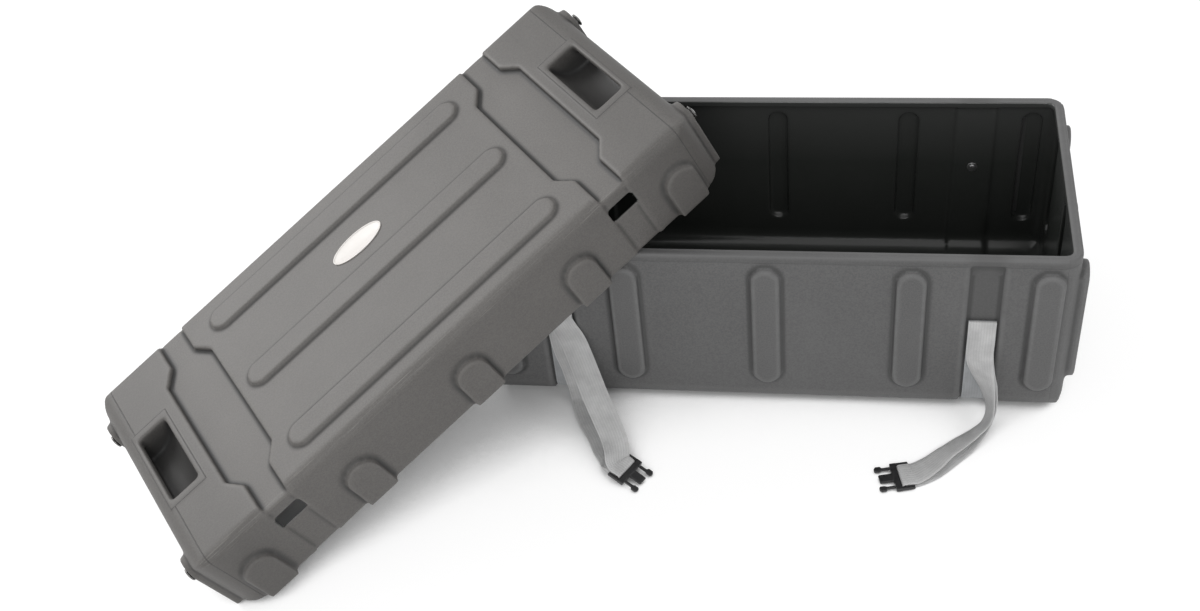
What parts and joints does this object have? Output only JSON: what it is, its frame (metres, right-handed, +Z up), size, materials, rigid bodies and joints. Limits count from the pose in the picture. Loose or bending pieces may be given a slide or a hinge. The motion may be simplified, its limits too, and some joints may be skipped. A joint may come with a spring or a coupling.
{
  "type": "drum hardware case",
  "caption": "Moulded trunk for drum stands: a ribbed rectangular tub, a telescoping lid leaning on it, and webbing belts with side-release buckles.",
  "frame": {"origin": "centre of the tub's flat underside, on the floor", "axes": "+X along the tub to the right, +Y from the front wall to the back wall, +Z up"},
  "size_m": [1.3949, 0.9916, 0.4741],
  "materials": {
    "tub_plastic": "moulded, fine pitted texture",
    "lid_plastic": "moulded, fine pitted texture",
    "webbing": "flat woven belt",
    "buckle_plastic": "smooth moulded",
    "rivet_steel": "plated",
    "glide_nickel": "nickel plated, worn",
    "badge_metal": "smooth and blank"
  },
  "bodies": {
    "tub": {"base_shell": "tub_plastic", "belly_strap_left": "webbing", "belly_strap_right": "webbing", "strap_rivets": "rivet_steel", "rivet_washers": "rivet_steel"},
    "lid": {"lid_shell": "lid_plastic", "badge_plate": "badge_metal", "glide_discs": "glide_nickel", "glide_rivets": "rivet_steel", "glide_washers": "rivet_steel"},
    "front_tail_left": {"front_tail_left": "webbing"},
    "front_tail_right": {"front_tail_right": "webbing"},
    "rear_tail_left": {"rear_tail_left": "webbing"},
    "rear_tail_right": {"rear_tail_right": "webbing"},
    "male_buckle_left": {"male_buckle_left": "buckle_plastic"},
    "male_buckle_right": {"male_buckle_right": "buckle_plastic"},
    "prong_left_a": {"prong_left_a": "buckle_plastic"},
    "prong_left_b": {"prong_left_b": "buckle_plastic"},
    "prong_right_a": {"prong_right_a": "buckle_plastic"},
    "prong_right_b": {"prong_right_b": "buckle_plastic"},
    "female_buckle_left": {"female_buckle_left": "buckle_plastic"},
    "female_buckle_right": {"female_buckle_right": "buckle_plastic"}
  },
  "joints": [
    {"name": "lid_lift", "type": "slide", "parent": "tub", "child": "lid", "axis": [0, 0, 1], "range_m": [0, 0.4]},
    {"name": "front_tail_left_fold", "type": "hinge", "parent": "tub", "child": "front_tail_left", "pos_m": [-0.3, -0.1848, 0.176], "axis": [-1, 0, 0], "range_deg": [0, 90]},
    {"name": "front_tail_right_fold", "type": "hinge", "parent": "tub", "child": "front_tail_right", "pos_m": [0.3, -0.1848, 0.176], "axis": [-1, 0, 0], "range_deg": [0, 100]},
    {"name": "rear_tail_left_fold", "type": "hinge", "parent": "tub", "child": "rear_tail_left", "pos_m": [-0.3, 0.1848, 0.176], "axis": [1, 0, 0], "range_deg": [0, 100]},
    {"name": "rear_tail_right_fold", "type": "hinge", "parent": "tub", "child": "rear_tail_right", "pos_m": [0.3, 0.1848, 0.176], "axis": [1, 0, 0], "range_deg": [0, 100]},
    {"name": "male_left_swing", "type": "hinge", "parent": "front_tail_left", "child": "male_buckle_left", "pos_m": [-0.197, -0.337, 0.013], "axis": [-0.5, -0.866, 0], "range_deg": [0, 60]},
    {"name": "male_right_swing", "type": "hinge", "parent": "front_tail_right", "child": "male_buckle_right", "pos_m": [0.196, -0.323, 0.00445], "axis": [-0.2351, 0.972, 0], "range_deg": [0, 60]},
    {"name": "female_left_swing", "type": "hinge", "parent": "rear_tail_left", "child": "female_buckle_left", "pos_m": [-0.3, 0.31, 0.0057], "axis": [1, 0, 0], "range_deg": [0, 85]},
    {"name": "female_right_swing", "type": "hinge", "parent": "rear_tail_right", "child": "female_buckle_right", "pos_m": [0.3, 0.31, 0.0057], "axis": [1, 0, 0], "range_deg": [0, 85]},
    {"name": "prong_left_a_squeeze", "type": "hinge", "parent": "male_buckle_left", "child": "prong_left_a", "pos_m": [-0.17562, -0.32948, 0.00959], "axis": [-0.1948, 0.1125, -0.9744], "range_deg": [0, 8]},
    {"name": "prong_left_b_squeeze", "type": "hinge", "parent": "male_buckle_left", "child": "prong_left_b", "pos_m": [-0.19282, -0.35928, 0.00959], "axis": [0.1948, -0.1125, 0.9744], "range_deg": [0, 8]},
    {"name": "prong_right_a_squeeze", "type": "hinge", "parent": "male_buckle_right", "child": "prong_right_a", "pos_m": [0.18532, -0.34328, 0.00445], "axis": [0, 0, -1], "range_deg": [0, 8]},
    {"name": "prong_right_b_squeeze", "type": "hinge", "parent": "male_buckle_right", "child": "prong_right_b", "pos_m": [0.17723, -0.30984, 0.00445], "axis": [0, 0, 1], "range_deg": [0, 8]}
  ],
  "couplings": [
    {"joint": "prong_left_b_squeeze", "follows": "prong_left_a_squeeze", "ratio": 1},
    {"joint": "prong_right_b_squeeze", "follows": "prong_right_a_squeeze", "ratio": 1}
  ]
}
